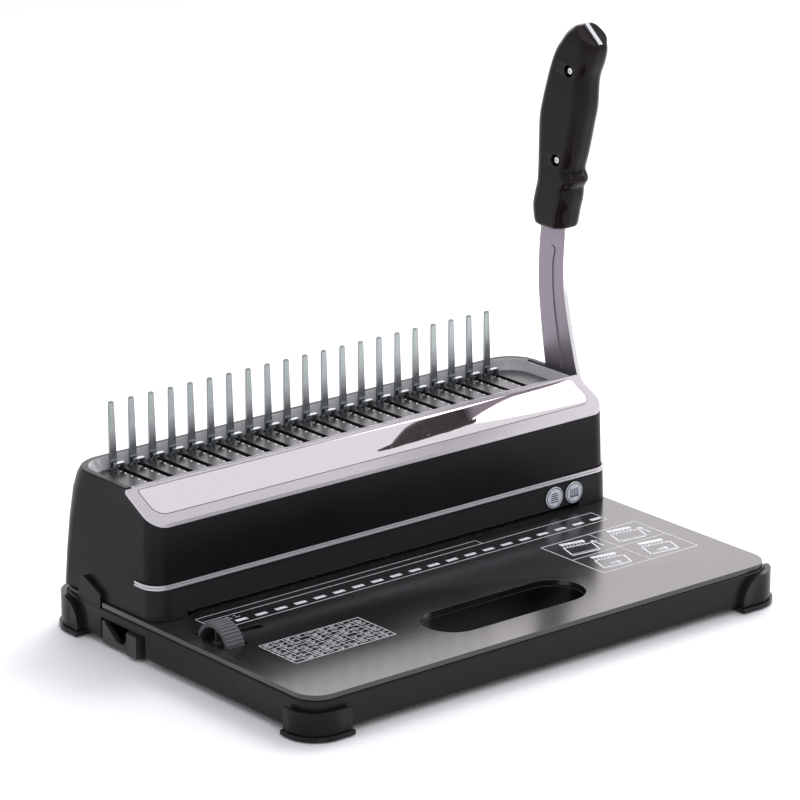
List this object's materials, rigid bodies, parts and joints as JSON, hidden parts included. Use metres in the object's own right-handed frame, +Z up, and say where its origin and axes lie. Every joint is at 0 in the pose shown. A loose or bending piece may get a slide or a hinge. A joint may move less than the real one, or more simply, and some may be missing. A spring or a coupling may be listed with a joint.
{
  "type": "comb binding machine",
  "caption": "Desk comb binding machine: a side lever drives a punch under the housing and opens a plastic comb on upright tines, with a chip drawer and a margin wheel.",
  "frame": {"origin": "centre of the machine's outer box, on the ground plane under its feet", "axes": "+X along the row of tines towards the lever's side, +Y from the paper table to the back of the housing, +Z up"},
  "size_m": [0.3706, 0.2528, 0.3204],
  "materials": {
    "black_housing": "fine satin moulding",
    "black_base": "satin moulding",
    "black_table": "smooth semi-gloss with printed marks",
    "black_grip": "polished",
    "black_nylon": "plain moulding",
    "grey_wheel": "ribbed moulding",
    "rubber": "matte",
    "silver_trim": "silver paint",
    "mirror_panel": "polished metallised plastic",
    "zinc_steel": "blue-grey zinc plate",
    "dark_steel": "blackened",
    "bright_steel": "ground and polished",
    "painted_steel": "grey satin paint, bare bright edges",
    "bronze": "plain turned",
    "white_label": "printed sticker"
  },
  "bodies": {
    "machine": {"base_pan": "black_base", "table_top": "black_table", "hand_slot_liner": "black_base", "guard_front_left": "black_base", "guard_front_right": "black_base", "guard_rear_left": "black_base", "guard_rear_right": "black_base", "foot_front_left": "rubber", "foot_front_right": "rubber", "foot_rear_left": "rubber", "foot_rear_right": "rubber", "base_screw_1": "bright_steel", "base_screw_2": "bright_steel", "base_screw_3": "bright_steel", "base_screw_4": "bright_steel", "housing_shell": "black_housing", "housing_screw_left": "bright_steel", "housing_screw_right": "bright_steel", "accent_strip": "silver_trim", "fascia_trim": "silver_trim", "fascia_panel": "mirror_panel", "label_left": "white_label", "label_right": "white_label", "comb_plate": "dark_steel", "tine_comb": "zinc_steel", "side_frame_left": "dark_steel", "side_frame_right": "dark_steel", "lower_die": "bright_steel", "upper_die": "bright_steel", "back_stop": "dark_steel", "guide_post_left": "bright_steel", "guide_post_right": "bright_steel", "return_spring_left": "bright_steel", "return_spring_right": "bright_steel", "shaft_bush_left": "bronze", "shaft_bush_right": "bronze", "drawer_runner_front": "black_nylon", "drawer_runner_rear": "black_nylon", "wheel_bearing_left": "black_nylon", "wheel_bearing_right": "black_nylon"},
    "lever": {"handle_shaft": "bright_steel", "shaft_clip": "bright_steel", "crank_left": "dark_steel", "crank_right": "dark_steel", "shaft_spacer": "black_nylon", "lever_arm": "painted_steel", "shaft_nut": "bright_steel", "grip_inner_half": "black_grip", "grip_outer_half": "black_grip", "grip_screw_upper": "bright_steel", "grip_screw_lower": "bright_steel"},
    "punch": {"punch_bar": "dark_steel", "punch_pins": "bright_steel"},
    "opener": {"opener_slide": "zinc_steel"},
    "drawer": {"chip_drawer": "black_nylon"},
    "wheel": {"guide_wheel": "grey_wheel", "guide_screw": "bright_steel"},
    "guide": {"edge_guide": "black_nylon"}
  },
  "joints": [
    {"name": "lever_hinge", "type": "hinge", "parent": "machine", "child": "lever", "pos_m": [0.1753, 0.05775, 0.056], "axis": [1, 0, 0], "range_deg": [0, 75]},
    {"name": "punch_slide", "type": "slide", "parent": "machine", "child": "punch", "axis": [0, 0, -1], "range_m": [0, 0.012], "stiffness_N_per_m": 600, "springref_m": -0.01, "deforming": ["return_spring_left", "return_spring_right"]},
    {"name": "opener_slide_joint", "type": "slide", "parent": "machine", "child": "opener", "axis": [0, -1, 0], "range_m": [0, 0.027]},
    {"name": "drawer_slide", "type": "slide", "parent": "machine", "child": "drawer", "axis": [-1, 0, 0], "range_m": [0, 0.28]},
    {"name": "margin_wheel_spin", "type": "hinge", "parent": "machine", "child": "wheel", "pos_m": [-0.1597, -0.01425, 0.0212], "axis": [1, 0, 0], "range_deg": [-360, 360]},
    {"name": "edge_guide_slide", "type": "slide", "parent": "machine", "child": "guide", "axis": [1, 0, 0], "range_m": [-0.003, 0.003]}
  ],
  "couplings": [
    {"joint": "punch_slide", "follows": "lever_hinge", "m_per_rad": 0.0091673},
    {"joint": "opener_slide_joint", "follows": "lever_hinge", "m_per_rad": 0.020626},
    {"joint": "edge_guide_slide", "follows": "margin_wheel_spin", "m_per_rad": 0.00047746}
  ]
}
